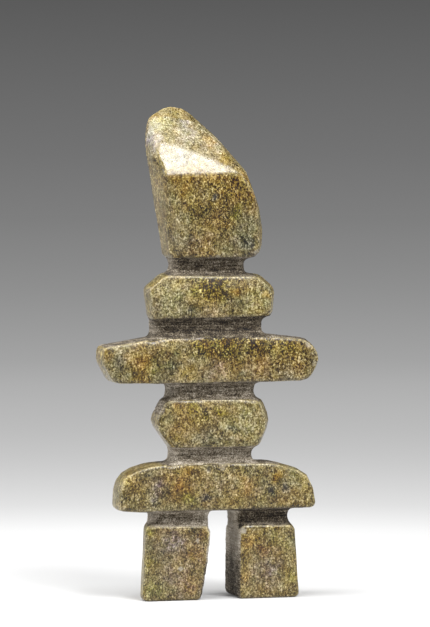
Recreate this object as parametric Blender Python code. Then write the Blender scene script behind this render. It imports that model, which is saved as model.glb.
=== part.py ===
"""A small inukshuk carved from one piece of serpentine.

Five polished blocks (head, shoulders, arms, torso and hips) stand on two legs, parted by rasped grooves.
Metres, +Z up. The face looks along -Y and the arms run along X. The origin is on the ground, under the
middle of the carving. The tables of shape are in millimetres and are read through MM.
"""

from itertools import product
from math import ceil, cos, pi, radians, sin, sqrt, tan

import bmesh
import bpy
from mathutils import Matrix, Vector

MM = 0.001

# Rounding of the edges, and how finely the round stretches are drawn
EDGE_ROUND = 1.0
ARC_STEP = radians(32)
CORE_CORNER = 2.4  # upright corners of the groove cores
CORNER_STEPS = 3
FLARE_STEPS = 3
SHARP_ANGLE = radians(30)  # steeper edges are shaded sharp

# Grooves: how far a core runs on inside the blocks above and below it, and how much it draws in there
GROOVE_REACH = 3.0
GROOVE_TUCK = 1.5

# Outline of each block, seen from the front: (x, z, rounding of the corner), clockwise from the lower left
SHOULDERS = [
    (-23.0, 102.4, 0.8), (-24.6, 114.2, 2.0), (-18.0, 119.9, 4.0), (18.8, 119.2, 3.5), (24.6, 113.8, 3.5),
    (23.8, 103.4, 1.4),
]
ARMS = [
    (-38.2, 79.9, 3.0), (-42.1, 88.0, 3.0), (-41.9, 93.0, 1.6), (-20.0, 96.7, 0.0), (13.0, 98.0, 30.0),
    (37.0, 95.2, 5.0), (42.4, 89.0, 6.0), (37.6, 79.9, 4.0), (-8.0, 79.1, 0.0),
]
TORSO = [
    (-15.4, 55.4, 1.0), (-22.2, 65.6, 4.0), (-18.0, 74.4, 4.0), (19.6, 74.2, 4.0), (23.0, 65.2, 9.0),
    (19.0, 55.4, 2.5),
]
HIPS = [
    (-36.0, 33.2, 0.8), (-35.4, 46.0, 9.0), (-24.0, 49.9, 12.0), (-8.0, 51.0, 0.0), (24.0, 50.1, 8.0),
    (38.4, 45.4, 8.5), (40.2, 33.0, 1.2), (-26.0, 32.4, 0.0),
]
LEFT_LEG = [(-26.8, 0.0, 0.8), (-25.2, 27.9, 1.2), (-0.4, 27.5, 1.6), (-1.7, 13.0, 20.0), (-4.4, 0.0, 0.8)]
RIGHT_LEG = [(9.3, 0.0, 0.8), (9.6, 27.5, 1.2), (31.6, 27.3, 1.4), (33.6, 0.0, 0.8)]

# How a block narrows from its girth to its face and back: (y, left, right, top, bottom), each an inset of
# the outline. The upper part of a face leans back a little, and both ends draw in towards the back.
PEBBLE = [
    (-11.4, 0.9, 4.2, 6.0, 0.5),
    (-10.4, 0.3, 2.2, 0.9, 0.1),
    (-5.0, 0.0, 0.0, 0.0, 0.0),
    (3.4, 1.3, 0.4, 0.1, 0.0),
    (8.6, 4.0, 2.6, 0.8, 0.3),
    (11.4, 7.0, 6.0, 3.2, 1.2),
]
BEAM = [
    (-12.0, 0.8, 3.0, 4.0, 0.4),
    (-11.3, 0.2, 1.4, 0.5, 0.1),
    (-5.0, 0.0, 0.0, 0.0, 0.0),
    (3.4, 0.9, 0.4, 0.2, 0.0),
    (9.0, 3.2, 2.2, 1.1, 0.4),
    (12.0, 6.0, 5.0, 3.6, 1.4),
]
POST = [
    (-11.0, 0.5, 1.6, 0.3, 0.0),
    (-10.2, 0.0, 0.5, 0.0, 0.0),
    (-5.0, 0.4, 0.0, 0.0, 0.0),
    (4.2, 2.8, 0.2, 0.1, 0.0),
    (9.3, 4.6, 1.2, 0.4, 0.0),
    (11.0, 6.0, 2.4, 1.2, 0.0),
]
INNER_POST = [
    (-11.0, 0.2, 2.4, 0.3, 0.0),
    (-10.2, 0.0, 0.9, 0.0, 0.0),
    (-5.0, 0.0, 0.0, 0.0, 0.0),
    (4.2, 0.0, 0.6, 0.1, 0.0),
    (9.3, 0.0, 2.6, 0.4, 0.0),
    (11.0, 0.8, 4.2, 1.2, 0.0),
]

# Head: a leaning block with a flat face, a steep chamfer above the face and a roof that falls to the right.
# The roof is one plane, given by how far it runs back (y) for each millimetre of x and of z.
FACE_Y = -11.0
CHEEK_Y = -5.0
CROWN_Y = 6.4
PEAK_Y = 9.2
NAPE_Y = 10.8
NAPE_INSETS = (3.6, 2.6, 1.8, 0.8)  # left, right, top, bottom
CHAMFER_FOOT_Z = 156.0
CHAMFER_RISE = 1.9  # height gained for each millimetre that the chamfer runs back
TOP_Z = 180.6
HEAD_FACE = [
    (-11.8, 125.2, 0.6), (-18.4, 155.4, 0.0), (-7.6, 156.2, 0.0), (1.0, 156.6, 0.0), (10.4, 156.2, 0.0),
    (16.6, 147.0, 12.0), (17.4, 125.2, 3.0),
]
HEAD_CHEEKS = [
    (-14.8, 125.0, 0.8), (-19.6, 157.2, 0.0), (13.6, 156.6, 0.0), (18.6, 143.5, 8.0), (20.0, 134.5, 8.0),
    (19.5, 125.0, 4.0),
]
HEAD_RIDGE = [(-18.3, 167.6), (-9.5, 164.1), (-2.5, 161.1), (5.5, 157.6)]
ROOF_ACROSS = 0.306
ROOF_UP = 1.255
ROOF_BASE = -210.9
ROOF_EDGE = [(3.6, 168.2), (7.6, 161.3)]
HEAD_CROWN = [
    (-15.0, 125.0, 0.8), (-16.5, 138.0, 0.0), (-22.6, 170.5, 5.0), (-21.3, 177.2, 2.5), (-15.0, TOP_Z, 5.0),
    (-7.6, TOP_Z, 9.0), (5.6, 168.4, 12.0), (18.0, 153.0, 12.0), (19.6, 125.0, 4.0),
]

# Groove cores: (left, right, half depth, lower z, upper z, lower flare, upper flare)
GROOVES = {
    "neck_core": (-13.5, 12.9, 7.1, 118.6, 125.6, 1.6, 0.9),
    "breast_core": (-20.4, 19.3, 8.5, 95.6, 103.8, 1.6, 1.0),
    "waist_core": (-14.5, 16.5, 8.0, 73.0, 79.9, 1.3, 1.4),
    "loin_core": (-13.5, 15.6, 8.0, 49.3, 56.4, 1.6, 0.9),
    "left_knee_core": (-21.3, -0.8, 7.5, 26.9, 33.4, 0.4, 2.0),
    "right_knee_core": (9.2, 29.6, 7.5, 26.7, 33.4, 0.4, 1.4),
}


def clear_scene():
    for obj in list(bpy.data.objects):
        bpy.data.objects.remove(obj)


def collection_named(name):
    made = bpy.data.collections.new(name)
    bpy.context.scene.collection.children.link(made)
    return made


def object_from(bm, name, collection):
    bmesh.ops.recalc_face_normals(bm, faces=bm.faces)
    mesh = bpy.data.meshes.new(name)
    bm.to_mesh(mesh)
    bm.free()
    obj = bpy.data.objects.new(name, mesh)
    collection.objects.link(obj)
    return obj


def arc_points(before, corner, after, radius):
    """The corner between two neighbours, drawn as an arc that touches both sides."""
    if not radius:
        return [corner]
    back = (before - corner).normalized()
    onward = (after - corner).normalized()
    turn = pi - back.angle(onward)
    reach = radius * tan(turn / 2)
    middle = corner + (back + onward).normalized() * radius / cos(turn / 2)
    first = corner + back * reach - middle
    last = corner + onward * reach - middle
    steps = ceil(turn / ARC_STEP)
    return [middle + first.slerp(last, step / steps).normalized() * radius for step in range(steps + 1)]


def rounded_outline(corners):
    """(x, z) points round an outline, from its (x, z, radius) corners."""
    places = [Vector((x, z)) for x, z, _ in corners]
    points = []
    for i, (_, _, radius) in enumerate(corners):
        points += arc_points(places[i - 1], places[i], places[(i + 1) % len(places)], radius)
    return points


def layer(outline, y, left, right, top, bottom):
    """The outline drawn at depth y, with each of its four sides moved in by its own inset."""
    xs = [x for x, _ in outline]
    zs = [z for _, z in outline]
    x_scale = (max(xs) - right - min(xs) - left) / (max(xs) - min(xs))
    z_scale = (max(zs) - top - min(zs) - bottom) / (max(zs) - min(zs))
    x_start = min(xs) + left
    z_start = min(zs) + bottom
    return [(x_start + (x - min(xs)) * x_scale, y, z_start + (z - min(zs)) * z_scale) for x, z in outline]


def moved_in(points, depth):
    """The points with their box drawn in by the depth on every side."""
    low = [min(point[axis] for point in points) for axis in range(3)]
    high = [max(point[axis] for point in points) for axis in range(3)]
    start = Vector(low) + Vector((depth, depth, depth))
    scale = [1 - 2 * depth / (hi - lo) for lo, hi in zip(low, high)]
    return [start + Vector((value - lo) * by for value, lo, by in zip(point, low, scale)) for point in points]


def hull(name, points, collection):
    """The block stretched over a small ball at each point, so that its facets meet in rounded edges."""
    ball = [Vector(way).normalized() * EDGE_ROUND for way in product((-1, 0, 1), repeat=3) if any(way)]
    bm = bmesh.new()
    corners = [bm.verts.new((point + way) * MM) for point in moved_in(points, EDGE_ROUND) for way in ball]
    made = bmesh.ops.convex_hull(bm, input=corners)
    unused = made["geom_interior"] + made["geom_unused"]
    inside = {item for item in unused if isinstance(item, bmesh.types.BMVert)}
    bmesh.ops.delete(bm, geom=list(inside), context="VERTS")
    return object_from(bm, name, collection)


def rounded_block(name, corners, profile, collection):
    outline = rounded_outline(corners)
    points = [point for row in profile for point in layer(outline, *row)]
    return hull(name, points, collection)


def roof_y(x, z):
    return ROOF_BASE + ROOF_ACROSS * x + ROOF_UP * z


def head_block(collection):
    crown = rounded_outline(HEAD_CROWN)
    points = [(x, FACE_Y, z) for x, z in rounded_outline(HEAD_FACE)]
    points += [(x, CHEEK_Y, z) for x, z in rounded_outline(HEAD_CHEEKS)]
    points += [(x, FACE_Y + (z - CHAMFER_FOOT_Z) / CHAMFER_RISE, z) for x, z in HEAD_RIDGE]
    points += [(x, roof_y(x, z), z) for x, z in ROOF_EDGE]
    points += [(x, min(max(roof_y(x, z), CROWN_Y), PEAK_Y), z) for x, z in crown]
    points += layer(crown, NAPE_Y, *NAPE_INSETS)
    return hull("head", points, collection)


def rounded_rectangle(left, right, half_depth, corner):
    """Points round a level section, counter-clockwise from above."""
    middles = [
        (right - corner, -half_depth + corner, -pi / 2),
        (right - corner, half_depth - corner, 0.0),
        (left + corner, half_depth - corner, pi / 2),
        (left + corner, -half_depth + corner, pi),
    ]
    points = []
    for x, y, start in middles:
        for step in range(CORNER_STEPS + 1):
            angle = start + step * pi / 2 / CORNER_STEPS
            points.append((x + corner * cos(angle), y + corner * sin(angle)))
    return points


def flare(height, radius):
    """How far a core stands out beside a fillet of this radius, at this height above the fillet's foot."""
    if height >= radius:
        return 0.0
    return radius - sqrt(radius**2 - (radius - height) ** 2)


def core_levels(lower, upper, low_flare, high_flare):
    """(z, outward offset) up the core: a fillet at each end of the groove, and a tuck inside both blocks."""
    levels = [(lower - GROOVE_REACH, -GROOVE_TUCK)]
    for step in range(FLARE_STEPS + 1):
        height = low_flare * (1 - cos(step * pi / 2 / FLARE_STEPS))
        levels.append((lower + height, flare(height, low_flare)))
    for step in range(FLARE_STEPS, -1, -1):
        height = high_flare * (1 - cos(step * pi / 2 / FLARE_STEPS))
        levels.append((upper - height, flare(height, high_flare)))
    levels.append((upper + GROOVE_REACH, -GROOVE_TUCK))
    return levels


def groove_core(name, left, right, half_depth, lower, upper, low_flare, high_flare, collection):
    bm = bmesh.new()
    rings = []
    for z, out in core_levels(lower, upper, low_flare, high_flare):
        section = rounded_rectangle(left - out, right + out, half_depth + out, CORE_CORNER + out)
        rings.append([bm.verts.new((x * MM, y * MM, z * MM)) for x, y in section])
    for below, above in zip(rings, rings[1:]):
        for i, corner in enumerate(below):
            after = (i + 1) % len(below)
            bm.faces.new((corner, below[after], above[after], above[i]))
    bm.faces.new(reversed(rings[0]))
    bm.faces.new(rings[-1])
    return object_from(bm, name, collection)


def joined(name, pieces, collection):
    """One closed mesh of all the pieces, made by unions on the first of them."""
    base, *others = pieces
    for other in others:
        union = base.modifiers.new("with_" + other.name, "BOOLEAN")
        union.operation = "UNION"
        union.object = other
    bpy.context.view_layer.update()
    evaluated = base.evaluated_get(bpy.context.evaluated_depsgraph_get())
    mesh = bpy.data.meshes.new_from_object(evaluated)
    for piece in pieces:
        bpy.data.objects.remove(piece)
    mesh.name = name
    carving = bpy.data.objects.new(name, mesh)
    collection.objects.link(carving)
    return carving


def centre_on_ground(obj):
    """Moves the mesh so that the origin is under the middle of its box, on the ground."""
    xs, ys, zs = ([vertex.co[axis] for vertex in obj.data.vertices] for axis in range(3))
    middle = Vector(((min(xs) + max(xs)) / 2, (min(ys) + max(ys)) / 2, min(zs)))
    obj.data.transform(Matrix.Translation(-middle))


def serpentine():
    stone = bpy.data.materials.new("polished_serpentine")
    stone.use_nodes = True
    shader = stone.node_tree.nodes["Principled BSDF"]
    shader.inputs["Base Color"].default_value = (0.24, 0.19, 0.07, 1.0)
    shader.inputs["Roughness"].default_value = 0.35
    shader.inputs["Metallic"].default_value = 0.0
    return stone


def main():
    clear_scene()
    blocks = collection_named("blocks")
    carving = collection_named("inukshuk")
    pieces = [
        rounded_block("hips", HIPS, BEAM, blocks),
        head_block(blocks),
        rounded_block("shoulders", SHOULDERS, PEBBLE, blocks),
        rounded_block("arms", ARMS, BEAM, blocks),
        rounded_block("torso", TORSO, PEBBLE, blocks),
        rounded_block("left_leg", LEFT_LEG, POST, blocks),
        rounded_block("right_leg", RIGHT_LEG, INNER_POST, blocks),
    ]
    pieces += [groove_core(name, *sizes, blocks) for name, sizes in GROOVES.items()]
    inukshuk = joined("inukshuk_carving", pieces, carving)
    centre_on_ground(inukshuk)
    inukshuk.data.materials.clear()
    inukshuk.data.materials.append(serpentine())
    inukshuk.data.shade_smooth()
    inukshuk.data.set_sharp_from_angle(angle=SHARP_ANGLE)


main()
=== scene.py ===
import math

import bmesh
import bpy
from mathutils import Matrix, Vector, noise
from mathutils.bvhtree import BVHTree


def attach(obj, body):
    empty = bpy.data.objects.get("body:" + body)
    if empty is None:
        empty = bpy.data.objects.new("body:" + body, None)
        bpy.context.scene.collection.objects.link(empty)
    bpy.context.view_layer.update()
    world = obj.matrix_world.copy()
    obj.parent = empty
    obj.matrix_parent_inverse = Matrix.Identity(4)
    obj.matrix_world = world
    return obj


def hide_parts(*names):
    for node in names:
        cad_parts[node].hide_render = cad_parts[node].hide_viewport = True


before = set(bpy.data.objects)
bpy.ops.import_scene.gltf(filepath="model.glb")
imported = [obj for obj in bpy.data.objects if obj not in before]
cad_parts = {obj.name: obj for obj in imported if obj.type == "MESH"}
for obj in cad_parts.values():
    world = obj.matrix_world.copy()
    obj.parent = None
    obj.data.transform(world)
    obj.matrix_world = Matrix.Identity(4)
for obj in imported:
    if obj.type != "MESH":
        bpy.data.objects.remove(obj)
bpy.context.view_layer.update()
mm = 0.001
print("frame loaded")


def addNode(tree, kind, inputs=None, **settings):
    node = tree.nodes.new(kind)
    for name, value in settings.items():
        setattr(node, name, value)
    for name, value in (inputs or {}).items():
        if isinstance(value, bpy.types.NodeSocket):
            tree.links.new(value, node.inputs[name])
        else:
            node.inputs[name].default_value = value
    return node


def reckon(tree, operation, first, second=0.0, third=0.0, clamp=False):
    values = {0: first, 1: second, 2: third}
    return addNode(tree, "ShaderNodeMath", values, operation=operation, use_clamp=clamp).outputs[0]


def spread(tree, value, low, high, toLow=0.0, toHigh=1.0, shape="LINEAR"):
    values = {"Value": value, "From Min": low, "From Max": high, "To Min": toLow, "To Max": toHigh}
    return addNode(tree, "ShaderNodeMapRange", values, interpolation_type=shape).outputs["Result"]


# screen values from 0 to 255 as a linear colour
def screen(red, green, blue):
    def one(value):
        part = value / 255
        return part / 12.92 if part < 0.04045 else ((part + 0.055) / 1.055) ** 2.4
    return (one(red), one(green), one(blue), 1.0)


def rampOf(tree, value, stops):
    node = addNode(tree, "ShaderNodeValToRGB", {"Fac": value})
    marks = node.color_ramp.elements
    marks[0].position, marks[0].color = stops[0]
    marks[1].position, marks[1].color = stops[-1]
    for place, colour in stops[1:-1]:
        marks.new(place).color = colour
    return node.outputs["Color"]


def blendColours(tree, share, first, second):
    node = addNode(tree, "ShaderNodeMix", data_type="RGBA")
    for socket, value in ((node.inputs[0], share), (node.inputs[6], first), (node.inputs[7], second)):
        if isinstance(value, bpy.types.NodeSocket):
            tree.links.new(value, socket)
        else:
            socket.default_value = value
    return node.outputs[2]


# the camera stands a little to the carving's left and looks slightly down
cameraView = {
    "yaw": 15.0, "tilt": 2.4,        # degrees
    "distance": 1.4, "height": 0.1632,
    "aside": 0.00276,                # along the picture's width
    "nudge": 0.0008,
    "lens": 218.6,
}


def addCamera():
    yaw, tilt = math.radians(cameraView["yaw"]), math.radians(cameraView["tilt"])
    right = Vector((math.cos(yaw), -math.sin(yaw), 0.0))
    level = Vector((math.sin(yaw), math.cos(yaw), 0.0))
    ahead = level * math.cos(tilt) - Vector((0.0, 0.0, math.sin(tilt)))
    turned = Matrix((right, right.cross(ahead), -ahead)).transposed().to_4x4()
    turned.translation = (right * cameraView["aside"] - level * cameraView["distance"]
                          + Vector((cameraView["nudge"], 0.0, cameraView["height"])))
    lens = bpy.data.cameras.new("pictureCamera")
    lens.sensor_width = 36.0
    lens.lens = cameraView["lens"]
    lens.clip_end = 40.0
    camera = bpy.data.objects.new("pictureCamera", lens)
    camera.matrix_world = turned
    bpy.context.scene.collection.objects.link(camera)
    bpy.context.scene.camera = camera


# a wide pale floor that fades to grey with distance
studioFloor = {
    "radius": 9.0,
    "steps": 96,
    # distance, how much of the lamps' light the paper throws back there, the shade that it shows by itself
    "shades": [(0.0, 0.54, 0.04), (0.10, 0.50, 0.10), (0.16, 0.48, 0.15), (0.26, 0.34, 0.33),
               (0.375, 0.22, 0.385), (0.506, 0.15, 0.43), (0.657, 0.10, 0.444), (0.835, 0.07, 0.437),
               (1.05, 0.05, 0.427), (1.3, 0.05, 0.394),
               (1.62, 0.05, 0.345), (2.01, 0.05, 0.318), (2.53, 0.05, 0.29), (3.24, 0.05, 0.262),
               (4.25, 0.05, 0.239), (5.8, 0.05, 0.219), (8.5, 0.05, 0.197)],
}

# height of the look over the horizon (sine), then the backdrop's shade there
backdropShades = [(-0.02, 0.216), (0.0, 0.17), (0.04, 0.105), (0.3, 0.14), (1.0, 0.25)]

studioLights = [
    {"name": "keySoftbox", "place": (0.21, -0.60, 0.97), "width": 0.37, "depth": 0.34, "power": 10.0},
    {"name": "edgeSoftbox", "place": (0.25, -0.80, 0.80), "width": 0.36, "depth": 0.22, "power": 2.7},
    {"name": "overheadSoftbox", "place": (-0.15, -0.10, 1.20), "width": 0.60, "depth": 0.60, "power": 6.5},
    {"name": "cornerSoftbox", "place": (-0.52, -0.20, 1.05), "width": 0.55, "depth": 0.42, "power": 6.8},
    {"name": "leftSoftbox", "place": (-1.08, 0.30, 0.62), "width": 0.90, "depth": 0.90, "power": 14.0},
    {"name": "backSoftbox", "place": (-0.75, 1.45, 0.40), "width": 0.90, "depth": 0.90, "power": 2.0},
    {"name": "rightSoftbox", "place": (1.10, -0.35, 0.60), "width": 0.70, "depth": 0.80, "power": 6.0},
    {"name": "frontFill", "place": (-0.30, -1.80, 0.70), "width": 1.00, "depth": 0.80, "power": 2.0},
]


def addStage():
    bm = bmesh.new()
    bmesh.ops.create_circle(bm, cap_ends=True, segments=studioFloor["steps"], radius=studioFloor["radius"])
    mesh = bpy.data.meshes.new("studioFloor")
    bm.to_mesh(mesh)
    bm.free()
    floor = bpy.data.objects.new("studioFloor", mesh)
    bpy.context.scene.collection.objects.link(floor)
    paper = bpy.data.materials.new("fadingPaper")
    paper.use_nodes = True
    tree = paper.node_tree
    principled = tree.nodes["Principled BSDF"]
    principled.inputs["Roughness"].default_value = 1.0
    principled.inputs["Specular IOR Level"].default_value = 0.0
    place = addNode(tree, "ShaderNodeTexCoord").outputs["Object"]
    far = addNode(tree, "ShaderNodeVectorMath", {0: place}, operation="LENGTH").outputs["Value"]
    share = reckon(tree, "DIVIDE", far, reckon(tree, "ADD", far, 1.0))
    for column, socket in ((1, "Base Color"), (2, "Emission Color")):
        stops = [(row[0] / (row[0] + 1.0), (row[column], row[column], row[column], 1.0))
                 for row in studioFloor["shades"]]
        tree.links.new(rampOf(tree, share, stops), principled.inputs[socket])
    principled.inputs["Emission Strength"].default_value = 1.0
    mesh.materials.append(paper)

    world = bpy.data.worlds.new("studioBackdrop")
    bpy.context.scene.world = world
    world.use_nodes = True
    tree = world.node_tree
    look = addNode(tree, "ShaderNodeTexCoord").outputs["Generated"]
    rise = addNode(tree, "ShaderNodeSeparateXYZ", {"Vector": look}).outputs["Z"]
    low, high = backdropShades[0][0], backdropShades[-1][0]
    share = spread(tree, rise, low, high)
    stops = [((at - low) / (high - low), (shade, shade, shade, 1.0)) for at, shade in backdropShades]
    tree.links.new(rampOf(tree, share, stops), tree.nodes["Background"].inputs["Color"])

    for light in studioLights:
        lamp = bpy.data.lights.new(light["name"], "AREA")
        lamp.shape = "RECTANGLE"
        lamp.size, lamp.size_y = light["width"], light["depth"]
        lamp.energy = light["power"]
        lampObject = bpy.data.objects.new(light["name"], lamp)
        lampObject.location = light["place"]
        lampObject.visible_camera = False
        aim = Vector((0.0, 0.0, 0.09)) - Vector(light["place"])
        lampObject.rotation_euler = aim.to_track_quat("-Z", "Y").to_euler()
        bpy.context.scene.collection.objects.link(lampObject)
    bpy.context.scene.view_settings.view_transform = "Standard"


# sizes in mm; the carving stands on z 0, its face looks along -y and its head's peak leans to -x
carving = {
    "voxel": 0.6,
    "edgeSharpness": 1.0,       # how far the remeshed points go back to the solid
    "filletRounds": 9,
    "filletPasses": 5,          # in each round
    "filletAngle": -0.08,
    "softHollows": 0.15,        # wide unevenness of the polished faces
    "smallHollows": 0.05,
    "raspWaves": 0.13,
    "raspLumps": 0.10,
    # painted light: the bare walls that face left are painted paler, as if lit by the lamps on the left
    "leftWallPaintedLight": 0.8,       # the bare walls on the left are paler
    # painted shade: the bare tops of the blocks beside the cuts are painted dark, for the shade under the
    # blocks above and the dim backdrop that they reflect
    "ledgePaintedShade": -0.6,         # how dark the bare tops of the blocks are beside the cuts
}

# the rasped cuts between the blocks: left, right, lowest and highest z, reach onto the block below at the
# left and at the right, and how light the bare stone is painted, a painted shade that is darkest in the
# deepest cuts
raspedCuts = {
    "neckCut": (-13.5, 12.9, 118.6, 125.6, 3.0, 4.0, -0.5),
    "breastCut": (-20.4, 19.3, 95.6, 103.8, 20.0, 18.0, -0.85),
    "waistCut": (-14.5, 16.5, 73.0, 79.9, 4.0, 3.0, 0.0),
    "loinCut": (-13.5, 15.6, 49.3, 56.4, 5.0, 10.0, 0.5),
    "leftKneeCut": (-21.3, -0.8, 26.9, 33.4, 4.0, 4.0, 0.58),
    "rightKneeCut": (9.2, 29.6, 26.7, 33.4, 4.0, 4.0, -0.9),
}

# the legs' inner faces: how light the bare stone is painted at the top and at the foot, and how much more in
# front; a painted light that the bright floor throws up under the hips, fading to painted shade toward the
# foot
innerFaces = {"top": 21.0, "foot": 9.0, "topPaintedLight": 1.85, "footPaintedShade": -0.6, "frontPaintedLight": 0.1}

# the chamfer over the head's face, which is rubbed flat and polished more finely than the rest, and painted
# paler there as a painted highlight
brow = {
    "facing": (0.0, -0.88, 0.47),
    "depth": 0.33,              # how deep it is rubbed down
    "low": 150.5, "high": 167.5,
    "left": -16.0, "back": 2.0, # its edges are worn round within these
    "turn": 0.10,               # if they are sharper than this
    "passes": 14,
}

# the chamfer's left edge stands out to the left; the spans are where that sets in or fades
browEdge = {
    "out": 2.4,
    "rise": (155.0, 166.5), "above": (167.0, 176.0),
    "right": (-17.5, -9.0), "back": (-5.0, 3.0),
}

# the head's upper left corner is rounded most, and polished like the chamfer, with the same painted highlight
headCorner = {"facing": (-0.54, -0.66, 0.52), "right": -14.0, "low": 166.0, "fade": 3.0, "passes": 40,
              "polishedFrom": 163.0}

# small losses and notches: place, radius, depth, how pale the fresh stone shows (below nought it is dark)
chips = [
    ((17.6, -10.4, 126.2), 2.2, 0.9, 0.9),      # head's lower right corner
    ((15.0, -11.0, 129.5), 1.1, 0.35, -0.6),
    ((2.0, -10.9, 125.4), 1.3, 0.45, 0.5),
    # this chip's paleness is partly a painted sheen on its facet
    ((36.4, -11.4, 93.2), 1.6, 0.45, 0.5),      # right arm's upper edge
    ((38.6, -11.2, 86.2), 1.5, 0.4, 0.3),
    ((-1.8, -11.4, 48.2), 1.1, 0.5, -0.7),      # dark hollows in the hips' upper edge
    ((0.2, -11.6, 47.2), 0.8, 0.3, -0.6),
    ((3.4, -11.0, 49.2), 2.0, 0.35, 0.3),
    ((-3.0, -12.0, 37.6), 0.9, 0.35, -0.9),
    ((21.7, -12.0, 39.9), 1.1, 0.35, -0.9),
    ((27.1, -12.0, 40.5), 0.9, 0.3, -0.8),
    ((0.7, -11.0, 147.9), 1.1, 0.3, -0.7),
    ((11.6, -10.8, 25.4), 1.3, 0.5, 0.9),       # right leg's upper inner corner
    ((10.2, -8.9, 27.2), 1.7, 0.7, -1.3),
    ((9.6, -11.0, 16.0), 1.0, 0.4, 0.2),
    ((9.6, -11.0, 4.6), 1.1, 0.4, -0.5),
    ((9.5, 11.0, 26.9), 1.2, 0.6, 0.0),
    ((9.4, 10.6, 18.0), 1.3, 0.5, 0.0),
    ((-1.6, -11.0, 18.0), 1.1, 0.4, 0.0),
    ((-2.6, -11.0, 9.2), 1.0, 0.35, 0.0),
    ((-5.7, -11.0, 21.8), 0.8, 0.2, 1.0),
    ((-12.2, -11.0, 11.7), 0.9, 0.2, 0.9),
    ((-25.4, -11.0, 3.0), 1.2, 0.4, 0.2),
    ((-36.0, -11.6, 33.6), 1.2, 0.4, 0.6),
    ((-38.6, -11.4, 80.4), 1.2, 0.35, 0.5),
    ((-22.9, 10.2, 103.0), 1.6, 0.5, 0.3),
    ((36.8, 11.2, 81.0), 1.8, 0.6, 0.5),
    ((-14.0, 10.6, 126.0), 1.5, 0.5, 0.3),
    ((31.0, 10.6, 1.0), 1.6, 0.6, 0.4),
]
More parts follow.
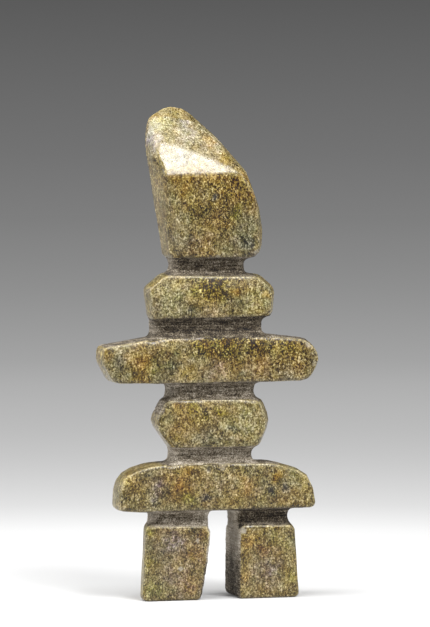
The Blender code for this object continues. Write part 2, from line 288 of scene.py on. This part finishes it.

# stains on the front, among them a few patches of painted light and painted sheen on the head: x, z, radius,
# warm (to ochre and rust) or cool (to grey), light or dark, lime or mauve
frontStainsAndPaintedLight = [
    # painted light: the first three patches paint the head's roof lighter, for the light that falls on this
    # top
    (-15.7, 177.0, 6.0, -0.2, 0.8, 0.5),       # head's roof
    (-8.0, 171.0, 7.0, -0.6, 0.75, -0.2),
    (2.0, 165.0, 6.0, -0.5, 0.6, -0.2),
    (-20.3, 160.0, 3.0, 0.2, -0.2, 0.2),
    # painted sheen: these two paint the head's upper left corner paler and cooler, as a painted reflection of
    # the grey backdrop
    (-22.2, 167.5, 2.4, -1.0, 0.6, -0.8),
    (-18.8, 169.6, 2.8, -0.9, 1.0, -0.5),
    (-13.0, 177.0, 2.0, -0.8, 0.0, -0.3),
    (-6.6, 174.9, 2.6, -0.7, 0.0, -0.3),
    (-3.7, 175.3, 3.0, 0.4, 0.1, 0.0),
    (1.0, 166.8, 2.6, 0.9, 0.1, -0.2),
    (5.5, 161.5, 3.0, 0.6, 0.1, 0.3),
    (8.4, 159.4, 1.6, -0.3, -0.7, 0.0),
    (-6.1, 166.0, 1.8, -0.2, -0.6, 0.0),
    (2.0, 151.0, 9.0, 0.55, -0.5, 0.15),       # head's face
    (-10.0, 152.0, 6.0, 0.7, 0.05, 0.0),
    (9.0, 150.0, 6.0, 0.4, -0.35, 0.1),
    (15.2, 149.0, 2.2, 1.3, 0.1, 0.0),
    (0.7, 147.9, 1.6, -1.0, -0.6, -0.5),
    (8.7, 141.6, 2.0, 0.4, 0.1, 0.9),
    (-6.5, 143.0, 5.0, 0.15, -0.6, 0.2),
    (5.0, 139.0, 5.0, 0.3, -0.65, -0.1),
    (11.5, 134.5, 6.0, -0.8, -0.05, 0.2),
    (13.5, 130.3, 3.0, -0.7, -0.5, -0.2),
    (-5.0, 131.0, 7.0, 0.1, -0.15, -0.3),
    (-11.8, 140.5, 2.5, -0.5, 0.25, 0.2),
    (-10.5, 133.0, 3.0, -0.5, 0.2, 0.1),
    (1.0, 113.5, 6.5, 0.65, -1.05, 0.8),         # shoulders
    (-6.0, 115.0, 4.0, 0.2, -0.1, 0.5),
    (-15.0, 110.0, 7.0, -0.4, 0.55, 0.3),
    (15.5, 109.5, 7.0, -0.3, 0.6, 0.35),
    (20.5, 111.5, 1.6, 0.9, 0.3, 0.0),
    (8.2, 112.8, 1.5, 0.7, 0.1, -0.3),
    (-8.5, 106.0, 1.4, -0.8, -0.6, -0.3),
    (0.0, 106.5, 7.0, 0.0, 0.25, -0.25),
    (7.2, 116.8, 0.9, 0.0, 1.0, 0.0),
    (0.8, 117.2, 1.2, 0.8, -0.4, 0.0),
    (-40.6, 91.5, 2.2, 0.7, 0.3, 0.2),          # arms
    (-35.5, 88.5, 4.0, -0.8, 0.05, -0.1),
    (-29.0, 89.0, 6.0, 0.6, 0.25, -0.1),
    (-26.5, 84.5, 3.0, 0.4, 0.1, 0.1),
    (-22.1, 85.1, 3.2, -0.3, 0.0, 0.6),
    (-15.6, 95.2, 2.0, 1.0, 0.2, 0.0),
    (-15.4, 86.5, 2.6, -1.0, -0.35, 0.3),
    (-13.8, 91.0, 1.2, -1.0, 0.3, 0.4),
    (-10.5, 84.0, 3.4, 0.7, 0.2, 0.1),
    (-4.0, 93.0, 5.0, 0.7, -0.95, 0.6),
    (6.0, 93.5, 6.0, 0.8, -1.15, 0.8),
    (16.0, 93.0, 6.0, 0.55, -0.6, 0.35),
    (28.0, 92.0, 7.0, 0.6, -0.55, 0.4),
    (10.7, 83.5, 1.2, -1.0, 0.8, 0.4),
    (0.4, 92.4, 1.0, -1.0, 0.6, 0.4),
    (2.0, 85.0, 6.0, 0.1, 0.1, -0.5),
    (17.0, 85.0, 6.0, 0.3, 0.1, -0.4),
    (31.0, 86.0, 6.0, 0.2, -0.35, -0.2),
    (38.6, 88.2, 2.6, -0.5, -0.2, 0.0),
    (-13.5, 72.0, 2.3, 1.1, 0.15, 0.0),         # torso
    (-7.0, 71.5, 3.0, 0.3, 0.0, 0.6),
    (-3.0, 67.0, 3.0, 0.2, -0.5, 0.3),
    (2.5, 68.5, 2.0, 0.3, 0.1, 0.9),
    (-11.0, 65.0, 4.0, 0.5, 0.1, -0.1),
    (-15.3, 60.0, 2.4, 0.7, 0.0, 0.0),
    (12.0, 66.5, 7.0, -0.35, 0.6, 0.35),
    (14.5, 60.5, 4.5, -0.3, 0.55, 0.2),
    (7.0, 62.6, 1.3, -0.9, -0.6, 0.0),
    (-3.0, 58.5, 6.0, -0.4, 0.0, -0.1),
    (6.0, 58.0, 4.0, -0.4, -0.2, 0.0),
    (-33.5, 46.0, 2.6, 0.1, 0.35, 0.6),         # hips
    (-38.0, 39.0, 2.6, 0.0, 0.3, 0.5),
    (-26.5, 47.5, 2.0, -0.2, -0.5, 0.0),
    (-20.5, 42.0, 3.2, -0.6, -0.35, -0.7),
    (-22.5, 38.0, 2.6, -0.6, -0.2, -0.4),
    (-14.0, 43.0, 6.0, 0.8, 0.0, -0.3),
    (-9.5, 48.0, 4.5, 0.7, -0.2, 0.1),
    (-9.0, 37.6, 2.6, -0.1, 0.2, 0.8),
    (0.5, 48.6, 2.0, -0.6, -0.7, -0.1),
    (7.0, 47.6, 3.0, -0.5, -0.45, 0.1),
    (13.5, 46.8, 3.0, -0.4, -0.3, 0.2),
    (1.0, 43.0, 4.5, -0.1, 0.1, -0.3),
    (-3.0, 37.6, 1.3, -0.9, -0.9, -0.4),
    (12.5, 41.0, 4.2, 0.8, 0.1, -0.3),
    (21.7, 40.5, 1.8, -0.8, -0.8, 0.1),
    (24.8, 44.8, 2.0, 1.2, 0.3, 0.0),
    (27.5, 40.5, 1.4, -0.8, -0.8, -0.5),
    (31.5, 47.0, 3.0, -0.2, 0.1, 0.3),
    (34.0, 41.0, 4.0, 0.1, 0.2, 0.2),
    (-24.4, 26.5, 2.4, 0.3, 0.3, 1.0),          # legs
    (-23.6, 14.0, 3.0, 0.1, 0.1, 0.6),
    (-25.0, 5.0, 3.0, 0.2, 0.2, 0.4),
    (-5.0, 24.5, 3.6, 0.7, -0.2, -0.4),
    (-5.5, 17.0, 4.5, 0.7, -0.1, -0.6),
    (-15.0, 22.0, 5.5, -0.3, -0.05, -0.8),
    (-12.0, 9.0, 7.0, -0.3, 0.05, -0.5),
    (-21.0, 4.0, 4.0, 0.0, 0.0, 0.6),
    (-8.5, 4.5, 3.5, 0.5, -0.1, -0.6),
    (-5.7, 21.8, 1.0, 0.0, 0.6, 0.0),
    (-12.2, 11.7, 1.0, 0.0, 0.6, 0.2),
    (-16.3, 25.7, 0.9, 0.0, 0.6, 0.0),
    (-6.9, 4.2, 1.2, 0.2, 0.5, 0.4),
    (-8.4, 26.2, 1.1, -0.2, -0.8, 0.0),
    (-15.6, 3.3, 1.2, -0.4, -0.5, 0.3),
    (14.0, 21.0, 4.5, 0.8, -0.1, -0.1),
    (20.0, 17.5, 3.0, 0.9, -0.15, -0.5),
    (21.5, 10.0, 6.5, -0.3, 0.0, -0.6),
    (24.0, 22.5, 3.0, 0.0, 0.1, 0.5),
    (28.6, 20.0, 3.5, 0.0, 0.3, 0.6),
    (30.5, 8.0, 4.0, 0.15, 0.05, 0.6),
    (12.1, 8.0, 2.6, 0.8, 0.0, -0.2),
    (17.1, 23.4, 0.9, 0.0, -0.8, 0.0),
]

# the same for the back, which has its own stains
backStains = [
    (-10.0, 168.0, 8.0, 0.4, 0.1, 0.3),
    (4.0, 150.0, 7.0, -0.6, -0.1, 0.0),
    (-12.0, 138.0, 6.0, 0.8, 0.0, 0.0),
    (12.0, 133.0, 3.0, 0.2, 0.2, 1.0),
    (-14.0, 110.0, 6.0, 0.3, 0.0, 0.6),
    (10.0, 113.0, 6.0, 0.6, -0.1, 0.0),
    (30.0, 90.0, 7.0, -0.7, 0.0, 0.0),
    (8.0, 87.0, 4.0, 1.1, 0.1, 0.0),
    (-28.0, 88.0, 7.0, 0.2, 0.0, 0.6),
    (-6.0, 92.0, 2.2, -0.8, -0.7, 0.0),
    (-10.0, 66.0, 6.0, -0.5, 0.1, 0.2),
    (11.0, 64.0, 5.0, 0.8, 0.0, 0.0),
    (-24.0, 42.0, 6.0, 0.7, 0.0, 0.1),
    (4.0, 41.0, 5.0, -0.8, -0.2, 0.0),
    (28.0, 39.0, 6.0, 0.1, 0.1, 0.7),
    (-14.0, 15.0, 6.0, 0.3, 0.1, 0.5),
    (22.0, 16.0, 6.0, -0.6, -0.1, 0.0),
    (20.0, 4.0, 3.0, 1.0, 0.0, 0.0),
]


# the solid's triangles are loose, so a merged copy is the start
def mergedSolid(node):
    bm = bmesh.new()
    bm.from_mesh(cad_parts[node].data)
    bmesh.ops.remove_doubles(bm, verts=bm.verts, dist=0.002 * mm)
    return bm


def remeshed(bm):
    mesh = bpy.data.meshes.new("roughStone")
    bm.to_mesh(mesh)
    rough = bpy.data.objects.new("roughStone", mesh)
    bpy.context.scene.collection.objects.link(rough)
    voxels = rough.modifiers.new("voxels", "REMESH")
    voxels.mode = "VOXEL"
    voxels.voxel_size = carving["voxel"] * mm
    seen = rough.evaluated_get(bpy.context.evaluated_depsgraph_get())
    fine = bmesh.new()
    fine.from_mesh(seen.to_mesh())
    seen.to_mesh_clear()
    bpy.data.objects.remove(rough)
    bpy.data.meshes.remove(mesh)
    return fine


def smoothPoints(bm, points, passes):
    for _ in range(passes):
        bmesh.ops.smooth_vert(bm, verts=points, factor=0.5, use_axis_x=True, use_axis_y=True, use_axis_z=True)


# whether a place is in or beside one of the cuts, or in the gap between the legs
def nearCut(spot):
    x, z = spot.x / mm, spot.z / mm
    if -3.0 < x < 11.0 and z < 36.0:
        return True
    return any(low - 3.0 < z < high + 3.0 and left - 3.5 < x < right + 3.5
               for left, right, low, high, *_ in raspedCuts.values())


# the cuts run into the blocks with the round bottom that a rasp leaves
def roundHollows(bm):
    for _ in range(carving["filletRounds"]):
        bm.normal_update()
        hollow = set()
        for edge in bm.edges:
            if edge.calc_face_angle_signed(0.0) < carving["filletAngle"] and nearCut(edge.verts[0].co):
                hollow.update(edge.verts)
        near = set(hollow)
        for vert in hollow:
            near.update(edge.other_vert(vert) for edge in vert.link_edges)
        smoothPoints(bm, sorted(near, key=lambda vert: vert.index), carving["filletPasses"])


# the edge at the chamfer's left is pushed out, and then the chamfer is rubbed flat
def flattenBrow(bm):
    bm.normal_update()
    top = [vert for vert in bm.verts if vert.co.z > brow["low"] * mm]
    for vert in top:
        spot = vert.co / mm
        share = step(spot.z, *browEdge["rise"]) * (1.0 - step(spot.z, *browEdge["above"]))
        share *= (1.0 - step(spot.x, *browEdge["right"])) * (1.0 - step(spot.y, *browEdge["back"]))
        vert.co.x -= browEdge["out"] * share * mm
    bm.normal_update()
    roughly = Vector(brow["facing"]).normalized()
    flat = [vert for vert in top if vert.normal.dot(roughly) > 0.995]
    middle = sum((vert.co for vert in flat), Vector()) / len(flat)
    facing = sum((vert.normal for vert in flat), Vector()).normalized()
    for vert in top:
        over = (vert.co - middle).dot(facing) + brow["depth"] * mm
        if over > 0.0:
            vert.co -= facing * over
    bm.normal_update()
    print("brow flattened:", len(flat), "points")


# the chamfer's edges and the head's corner are worn rounder than the rest
def wearHead(bm):
    worn = set()
    for edge in bm.edges:
        spot = edge.verts[0].co / mm
        if spot.y < brow["back"] and spot.x > brow["left"] and brow["low"] < spot.z < brow["high"]:
            if edge.calc_face_angle_signed(0.0) > brow["turn"]:
                worn.update(edge.verts)
    for vert in list(worn):
        worn.update(edge.other_vert(vert) for edge in vert.link_edges)
    smoothPoints(bm, sorted(worn, key=lambda vert: vert.index), brow["passes"])
    shares = []
    fade = headCorner["fade"]
    for vert in bm.verts:
        spot = vert.co / mm
        share = min(step(spot.z, headCorner["low"] - fade, headCorner["low"] + fade),
                    step(-spot.x, -headCorner["right"] - fade, -headCorner["right"] + fade))
        if share > 0.05:
            shares.append((share, vert))
    for turn in range(headCorner["passes"]):
        smoothPoints(bm, [vert for share, vert in shares if share * headCorner["passes"] > turn], 1)


# from 0 at the low value to 1 at the high one, with soft ends
def step(value, low, high):
    share = min(1.0, max(0.0, (value - low) / (high - low)))
    return share * share * (3.0 - 2.0 * share)


# 1 where the stone was left as the rasp cut it, 0 where it was polished
def raspedShare(spot, facing):
    x, z = spot.x, spot.z
    if z < 0.4 and facing.z < -0.8:
        return 1.0
    share = 0.0
    for left, right, low, high, reachLeft, reachRight, _ in raspedCuts.values():
        if low - 5.0 < z < high + 5.0:
            wide = min(step(x, left - 2.5, left - 0.5), 1.0 - step(x, right + 0.5, right + 2.5))
            inside = min(step(z, low - 0.2, low + 0.9), 1.0 - step(z, high - 0.9, high + 0.2))
            share = max(share, inside * wide)
            if abs(facing.z) > 0.6:
                flat = step(abs(facing.z), 0.6, 0.9)
                edgeLeft = left - (reachLeft if facing.z > 0 else 6.0)
                edgeRight = right + (reachRight if facing.z > 0 else 6.0)
                along = min(step(x, edgeLeft - 2.0, edgeLeft + 2.0),
                            1.0 - step(x, edgeRight - 2.0, edgeRight + 2.0))
                share = max(share, flat * along)
    if z < 34.0 and -6.5 < x < 11.5 and abs(facing.x) > 0.3:
        share = max(share, step(abs(facing.x), 0.4, 0.8))
    if 67.0 < z < 75.0 and x < -14.0:
        share = max(share, step(-facing.x, 0.25, 0.5) * step(z, 67.0, 69.5))
    return share


# how light the bare stone is painted at a place: painted shade in the cuts and on the ledges beside them,
# painted light on the walls that face left and on the legs' inner faces
def cutPaintedLight(spot, facing):
    if spot.z < 34.0 and -6.5 < spot.x < 10.5 and abs(facing.x) > 0.35:
        rise = step(spot.z, innerFaces["foot"], innerFaces["top"])
        top = innerFaces["topPaintedLight"] + innerFaces["frontPaintedLight"] * step(-spot.y, -2.0, 7.0)
        return innerFaces["footPaintedShade"] + rise * (top - innerFaces["footPaintedShade"])
    for left, right, low, high, reachLeft, reachRight, shade in raspedCuts.values():
        if low - 5.0 < spot.z < high + 3.0 and left - reachLeft - 3.0 < spot.x < right + reachRight + 3.0:
            beside = max(step(spot.x, right + 1.0, right + 3.0), 1.0 - step(spot.x, left - 3.0, left - 1.0))
            shade += step(-facing.x, 0.4, 0.9) * carving["leftWallPaintedLight"]
            return shade + beside * step(facing.z, 0.5, 0.9) * (carving["ledgePaintedShade"] - shade)
    return 0.0


def shapeStone():
    solid = mergedSolid("inukshuk_carving")
    fine = remeshed(solid)
    guide = BVHTree.FromBMesh(solid)
    for vert in fine.verts:
        near = guide.find_nearest(vert.co)
        if near[0] is not None:
            vert.co = vert.co.lerp(near[0], carving["edgeSharpness"])
    solid.free()
    roundHollows(fine)
    flattenBrow(fine)
    wearHead(fine)
    fine.normal_update()
    print("stone remeshed:", len(fine.verts), "points")

    rasped = fine.verts.layers.float.new("rasped")
    rimWearAndGleam = fine.verts.layers.float.new("rimWearAndGleam")
    warm = fine.verts.layers.float.new("warm")
    light = fine.verts.layers.float.new("light")
    lime = fine.verts.layers.float.new("lime")
    fresh = fine.verts.layers.float.new("fresh")
    glossAndPaintedHighlight = fine.verts.layers.float.new("glossAndPaintedHighlight")
    browFacing, cornerFacing = Vector(brow["facing"]).normalized(), Vector(headCorner["facing"]).normalized()
    for vert in fine.verts:
        spot = vert.co / mm
        drift = noise.noise(spot * 0.45) * 0.9
        vert[rasped] = raspedShare(spot + Vector((drift, 0.0, drift * 0.4)), vert.normal)
        vert[light] = vert[rasped] * cutPaintedLight(spot, vert.normal)
        if spot.z > brow["low"]:
            vert[glossAndPaintedHighlight] = step(vert.normal.dot(browFacing), 0.93, 0.99)
        if spot.z > headCorner["polishedFrom"]:
            vert[glossAndPaintedHighlight] = max(vert[glossAndPaintedHighlight], step(vert.normal.dot(cornerFacing), 0.78, 0.95))
        turn = sum(edge.calc_face_angle_signed(0.0) for edge in vert.link_edges) / len(vert.link_edges)
        # convex edges, weighted toward those that face up: partly real wear, partly a painted highlight from
        # the lamps above
        vert[rimWearAndGleam] = min(1.0, max(-1.0, turn * 4.0)) * (0.55 + 0.45 * step(vert.normal.z, 0.1, 0.6))
    for layer, passes in ((rasped, 1), (rimWearAndGleam, 1), (glossAndPaintedHighlight, 7), (light, 3)):
        for _ in range(passes):
            means = [sum(edge.other_vert(vert)[layer] for edge in vert.link_edges) / len(vert.link_edges)
                     for vert in fine.verts]
            for vert, mean in zip(fine.verts, means):
                vert[layer] = 0.4 * vert[layer] + 0.6 * mean
    for vert in fine.verts:
        spot = vert.co / mm
        sway = Vector((noise.noise(spot * 0.33), noise.noise(spot * 0.33 + Vector((31.0, 7.0, 3.0))), 0.0))
        sway *= 2.2
        side = step(-vert.normal.y, -0.35, 0.1) if spot.y < 4.0 else 0.0
        polish = 1.0 - vert[rasped]
        for colourPatches, weight in ((frontStainsAndPaintedLight, side), (backStains, 1.0 - side)):
            if weight == 0.0:
                continue
            for x, z, radius, toWarm, toLight, toLime in colourPatches:
                across, up = spot.x + sway.x - x, spot.z + sway.y - z
                if abs(up) > 2.0 * radius or abs(across) > 2.0 * radius:
                    continue
                share = weight * polish * math.exp(-1.4 * (across * across + up * up) / (radius * radius))
                vert[warm] += toWarm * share
                vert[light] += toLight * share
                vert[lime] += toLime * share
    print("stains laid")

    for vert in fine.verts:
        spot = vert.co / mm
        soft = (noise.noise(spot * 0.10) * carving["softHollows"]
                + noise.noise(spot * 0.34 + Vector((5.0, 5.0, 5.0))) * carving["smallHollows"])
        waves = noise.noise(Vector((spot.x * 0.16, spot.y * 0.16, spot.z * 1.05))) * carving["raspWaves"]
        lumps = noise.noise(spot * 0.62 + Vector((9.0, 2.0, 4.0))) * carving["raspLumps"]
        push = soft * (1.0 - vert[rasped]) + (waves + lumps) * vert[rasped]
        for (x, y, z), radius, depth, pale in chips:
            away = spot - Vector((x, y, z))
            if away.length_squared > 4.0 * radius * radius:
                continue
            far = away.length / radius + noise.noise(spot * 0.9 + Vector((radius, 0.0, depth))) * 0.5
            if far < 1.0:
                push -= depth * (1.0 - far * far)
                vert[fresh] += pale * (1.0 - far ** 4)
        if spot.z < 0.8:
            push *= step(spot.z, 0.05, 0.8)
        vert.co += vert.normal * push * mm
    mesh = bpy.data.meshes.new("polishedCarving")
    fine.to_mesh(mesh)
    fine.free()
    mesh.shade_smooth()
    stone = bpy.data.objects.new("polishedCarving", mesh)
    bpy.context.scene.collection.objects.link(stone)
    print("stone shaped")
    return stone


# grains of a mineral: a mask that is 1 inside a share of the cells, which are about one size across
def grainGroup():
    group = bpy.data.node_groups.new("mineralGrains", "ShaderNodeTree")
    for name, kind, default in (("Vector", "NodeSocketVector", None), ("Size", "NodeSocketFloat", 1.0),
                                ("Share", "NodeSocketFloat", 0.2), ("Roundness", "NodeSocketFloat", 0.5)):
        socket = group.interface.new_socket(name, in_out="INPUT", socket_type=kind)
        if default is not None:
            socket.default_value = default
    group.interface.new_socket("Mask", in_out="OUTPUT", socket_type="NodeSocketFloat")
    group.interface.new_socket("Tone", in_out="OUTPUT", socket_type="NodeSocketFloat")
    given = addNode(group, "NodeGroupInput").outputs
    scale = reckon(group, "DIVIDE", 1.0, given["Size"])
    cells = addNode(group, "ShaderNodeTexVoronoi", {"Vector": given["Vector"], "Scale": scale})
    parts = addNode(group, "ShaderNodeSeparateColor", {"Color": cells.outputs["Color"]}).outputs
    chosen = reckon(group, "LESS_THAN", parts["Red"], given["Share"])
    edge = reckon(group, "SUBTRACT", 0.75, reckon(group, "MULTIPLY", given["Roundness"], 0.35))
    body = spread(group, cells.outputs["Distance"], reckon(group, "ADD", edge, 0.12),
                  reckon(group, "SUBTRACT", edge, 0.12))
    out = addNode(group, "NodeGroupOutput")
    group.links.new(reckon(group, "MULTIPLY", chosen, body), out.inputs["Mask"])
    group.links.new(parts["Green"], out.inputs["Tone"])
    return group


# fine level scratches, with the stone's own roughness between them
def raspGroup():
    group = bpy.data.node_groups.new("raspScratches", "ShaderNodeTree")
    group.interface.new_socket("Vector", in_out="INPUT", socket_type="NodeSocketVector")
    group.interface.new_socket("Spacing", in_out="INPUT", socket_type="NodeSocketFloat").default_value = 0.5
    group.interface.new_socket("Height", in_out="OUTPUT", socket_type="NodeSocketFloat")
    given = addNode(group, "NodeGroupInput").outputs
    squeezed = addNode(group, "ShaderNodeMapping", {"Vector": given["Vector"], "Scale": (0.09, 0.09, 1.0)})
    scale = reckon(group, "DIVIDE", 1.0, given["Spacing"])
    lines = addNode(group, "ShaderNodeTexNoise", {"Vector": squeezed.outputs["Vector"], "Scale": scale,
                                                  "Detail": 2.0, "Roughness": 0.6})
    grit = addNode(group, "ShaderNodeTexNoise", {"Vector": given["Vector"], "Scale": 2.2, "Detail": 3.0})
    out = addNode(group, "NodeGroupOutput")
    height = reckon(group, "MULTIPLY_ADD", grit.outputs["Fac"], 0.6, lines.outputs["Fac"])
    group.links.new(height, out.inputs["Height"])
    return group


def stoneMaterial():
    grains, scratches = grainGroup(), raspGroup()
    stone = bpy.data.materials.new("speckledSerpentine")
    stone.use_nodes = True
    tree = stone.node_tree
    principled = tree.nodes["Principled BSDF"]
    place = addNode(tree, "ShaderNodeTexCoord").outputs["Object"]
    inMm = addNode(tree, "ShaderNodeMapping", {"Vector": place, "Scale": (1.0 / mm,) * 3}).outputs["Vector"]

    def attribute(name):
        return addNode(tree, "ShaderNodeAttribute", attribute_name=name).outputs["Fac"]

    def scaled(scale):
        return addNode(tree, "ShaderNodeMapping", {"Vector": inMm, "Scale": scale}).outputs["Vector"]

    def vectorSum(operation, values):
        return addNode(tree, "ShaderNodeVectorMath", values, operation=operation).outputs["Vector"]

    def noiseAt(scale, detail=2.0, rough=0.5, vector=inMm, swirl=0.0):
        values = {"Vector": vector, "Scale": scale, "Detail": detail, "Roughness": rough, "Distortion": swirl}
        return addNode(tree, "ShaderNodeTexNoise", values).outputs["Fac"]

    def grainsOf(size, share, roundness, shift):
        moved = addNode(tree, "ShaderNodeMapping", {"Vector": inMm, "Location": shift}).outputs["Vector"]
        node = addNode(tree, "ShaderNodeGroup", node_tree=grains)
        tree.links.new(moved, node.inputs["Vector"])
        for name, value in (("Size", size), ("Share", share), ("Roundness", roundness)):
            node.inputs[name].default_value = value
        return node.outputs

    warm, light, lime = attribute("warm"), attribute("light"), attribute("lime")
    fresh, rimWearAndGleam, glossAndPaintedHighlight = attribute("fresh"), attribute("rimWearAndGleam"), attribute("glossAndPaintedHighlight")
    worn = reckon(tree, "ADD", attribute("rasped"), reckon(tree, "MULTIPLY_ADD", noiseAt(0.9), 0.7, -0.35))
    rasped = spread(tree, worn, 0.38, 0.62, shape="SMOOTHSTEP")

    # light and dark in screen values, from fine crystals to broad clouds; the grains stand a little upright
    upright = scaled((1.0, 1.0, 0.8))
    cells = grainsOf(0.6, 1.0, 0.0, (0.0, 0.0, 0.0))["Tone"]
    varied = 0.0
    streaked = scaled((1.5, 1.5, 0.4))
    for field, weight in ((cells, 0.24), (noiseAt(1.9, 3.0, 0.62, upright, 0.6), 1.25),
                          (noiseAt(1.0, 2.0, 0.5, streaked), 0.40), (noiseAt(0.45, 2.0, 0.5, upright), 0.38),
                          (noiseAt(0.12, 3.0, 0.6), 0.32)):
        varied = reckon(tree, "MULTIPLY_ADD", field, weight, reckon(tree, "SUBTRACT", varied, 0.5 * weight))
    contrast = spread(tree, light, -0.5, 0.0, 1.35, 1.0)
    # painted highlight: where the chamfer and the head's corner are polished, the colour is painted paler and
    # its grain flatter, as under a strong highlight
    contrast = reckon(tree, "MULTIPLY", contrast, spread(tree, glossAndPaintedHighlight, 0.0, 1.0, 1.0, 0.6))
    tone = reckon(tree, "MULTIPLY_ADD", varied, contrast, reckon(tree, "MULTIPLY_ADD", light, 0.15, 0.345))
    tone = reckon(tree, "MULTIPLY_ADD", glossAndPaintedHighlight, 0.07, tone)

    # the colour goes on top of that: red, green and blue over or under the tone
    hue = reckon(tree, "MULTIPLY_ADD", warm, 0.40, 0.47)
    for field, weight in ((noiseAt(0.14, 3.0, 0.6), 0.9), (noiseAt(0.6, 2.0, 0.5), 0.36)):
        hue = reckon(tree, "MULTIPLY_ADD", field, weight, reckon(tree, "SUBTRACT", hue, 0.5 * weight))
    tints = [(0.0, (0.028, 0.013, -0.075)), (0.3, (0.044, 0.009, -0.110)), (0.5, (0.064, 0.006, -0.152)),
             (0.75, (0.088, 0.003, -0.210)), (1.0, (0.120, -0.006, -0.250)), (1.4, (0.185, -0.030, -0.280))]
    hottest = tints[-1][0]
    stops = [(at / hottest, (0.5 + red, 0.5 + green, 0.5 + blue, 1.0)) for at, (red, green, blue) in tints]
    tint = rampOf(tree, reckon(tree, "DIVIDE", hue, hottest), stops)
    limeShare = reckon(tree, "MULTIPLY", lime, spread(tree, noiseAt(0.9, 2.0), 0.3, 0.6))
    body = reckon(tree, "SUBTRACT", tone, 0.5)
    for field, change in ((limeShare, (-0.004, 0.026, -0.115)), (noiseAt(0.3, 2.0), (-0.032, 0.022, -0.032))):
        middle = 0.0 if field is limeShare else 0.5
        field = reckon(tree, "SUBTRACT", field, middle)
        body = vectorSum("MULTIPLY_ADD", {0: field, 1: change, 2: body})
    body = vectorSum("ADD", {0: body, 1: tint})
    body = vectorSum("MAXIMUM", {0: body, 1: (0.01, 0.01, 0.01)})
    body = addNode(tree, "ShaderNodeGamma", {"Color": body, "Gamma": 2.2}).outputs["Color"]
    dark = grainsOf(0.9, 0.08, 0.6, (2.0, 17.0, 8.0))
    body = blendColours(tree, reckon(tree, "MULTIPLY", dark["Mask"], 0.5), body, screen(50, 40, 24))

    scratched = addNode(tree, "ShaderNodeGroup", node_tree=scratches)
    tree.links.new(inMm, scratched.inputs["Vector"])
    scratched.inputs["Spacing"].default_value = 0.8

    # dull stone in the cuts, also in screen values, made lighter or darker by the painted light and painted
    # shade of the light layer
    cut = reckon(tree, "MULTIPLY_ADD", light, 0.145, 0.342)
    even = spread(tree, light, 0.9, 2.2, 1.0, 0.4)
    for field, middle, weight in ((scratched.outputs["Height"], 0.8, 0.7),
                                  (noiseAt(2.2, 3.0, 0.6, swirl=0.5), 0.5, 1.0),
                                  (noiseAt(0.35, 3.0, 0.6), 0.5, 0.6)):
        field = reckon(tree, "MULTIPLY", reckon(tree, "SUBTRACT", field, middle), even)
        cut = reckon(tree, "MULTIPLY_ADD", field, weight, cut)
    cut = vectorSum("ADD", {0: cut, 1: (0.031, -0.005, -0.062)})
    cut = vectorSum("MAXIMUM", {0: cut, 1: (0.03, 0.03, 0.03)})
    cut = addNode(tree, "ShaderNodeGamma", {"Color": cut, "Gamma": 2.2}).outputs["Color"]
    colour = blendColours(tree, rasped, body, cut)
    # pale edges: a chalky worn line on convex edges, and a painted highlight along the edges that face up
    rubbedAndGleamingRim = reckon(tree, "ADD", rimWearAndGleam, reckon(tree, "MULTIPLY_ADD", noiseAt(1.3), 0.8, -0.4))
    bright = spread(tree, rubbedAndGleamingRim, 0.35, 0.9)
    colour = blendColours(tree, reckon(tree, "MULTIPLY", bright, 0.28), colour, screen(206, 190, 138))
    patchy = reckon(tree, "MULTIPLY", fresh, spread(tree, noiseAt(1.2), 0.2, 0.6, 0.6, 1.2))
    paleLoss = spread(tree, patchy, 0.1, 0.7)
    colour = blendColours(tree, reckon(tree, "MULTIPLY", paleLoss, 0.8), colour, screen(158, 151, 136))
    darkLoss = spread(tree, fresh, -0.1, -0.8)
    colour = blendColours(tree, darkLoss, colour, screen(44, 38, 30))
    tree.links.new(colour, principled.inputs["Base Color"])

    gloss = spread(tree, noiseAt(0.5, 3.0), 0.3, 0.7, 0.30, 0.44)
    gloss = reckon(tree, "MULTIPLY_ADD", glossAndPaintedHighlight, -0.08, gloss)
    dull = reckon(tree, "MAXIMUM", rasped, reckon(tree, "MAXIMUM", paleLoss, darkLoss))
    rough = reckon(tree, "ADD", gloss, reckon(tree, "MULTIPLY", dull, 0.5), clamp=True)
    tree.links.new(rough, principled.inputs["Roughness"])

    raised = reckon(tree, "MULTIPLY", reckon(tree, "MULTIPLY", scratched.outputs["Height"], rasped), 0.22)
    pits = reckon(tree, "MULTIPLY", dark["Mask"], -0.02)
    ripple = reckon(tree, "MULTIPLY", noiseAt(1.0, 2.0), 0.05)
    height = reckon(tree, "ADD", raised, reckon(tree, "ADD", pits, ripple))
    bump = addNode(tree, "ShaderNodeBump", {"Height": height, "Strength": 1.0, "Distance": mm})
    tree.links.new(bump.outputs["Normal"], principled.inputs["Normal"])
    return stone


addCamera()
addStage()
carvingPiece = shapeStone()
carvingPiece.data.materials.append(stoneMaterial())
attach(carvingPiece, "root")
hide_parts("inukshuk_carving")
print("carving finished")
